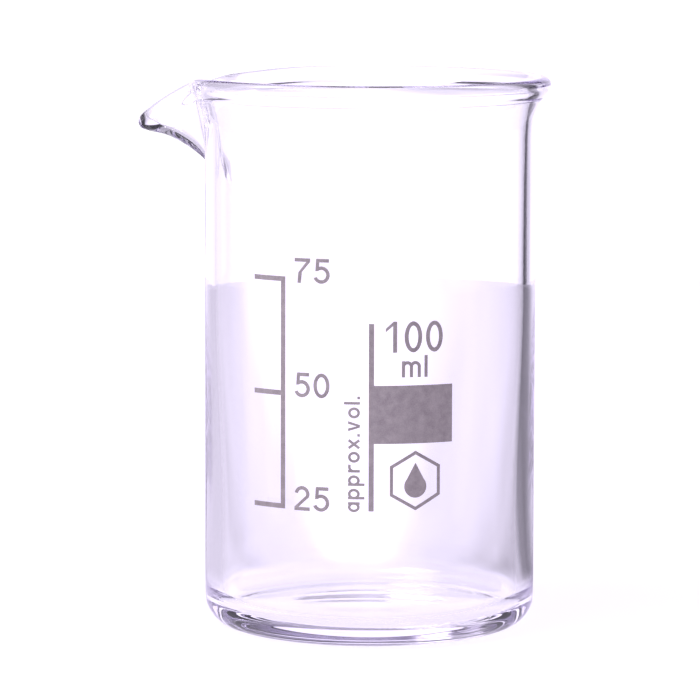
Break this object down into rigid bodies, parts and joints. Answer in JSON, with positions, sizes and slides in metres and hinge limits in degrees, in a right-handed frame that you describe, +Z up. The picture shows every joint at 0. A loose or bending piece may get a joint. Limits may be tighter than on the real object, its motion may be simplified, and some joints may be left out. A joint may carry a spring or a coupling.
{
  "type": "graduated beaker",
  "caption": "Clear glass tall-form laboratory beaker with a flared beaded rim, pouring spout and fired enamel volume scale.",
  "frame": {"origin": "centre of the foot, on the plane it rests on, on the axis of the body", "axes": "+Z up along the body's axis, -X towards the tip of the spout, -Y square to the spout, on the printed side (the print is centred 13.9 degrees from it towards +X)"},
  "size_m": [0.0626, 0.0522, 0.08],
  "materials": {
    "clear_glass": "fire-polished, clear and colourless",
    "enamel": "thin satin grey enamel fired onto the glass"
  },
  "bodies": {
    "root": {"vessel": "clear_glass", "graduation_scale": "enamel", "numeral_75": "enamel", "numeral_50": "enamel", "numeral_25": "enamel", "capacity_100": "enamel", "unit_ml": "enamel", "marking_patch": "enamel", "approx_note": "enamel", "pictogram": "enamel"}
  },
  "joints": []
}
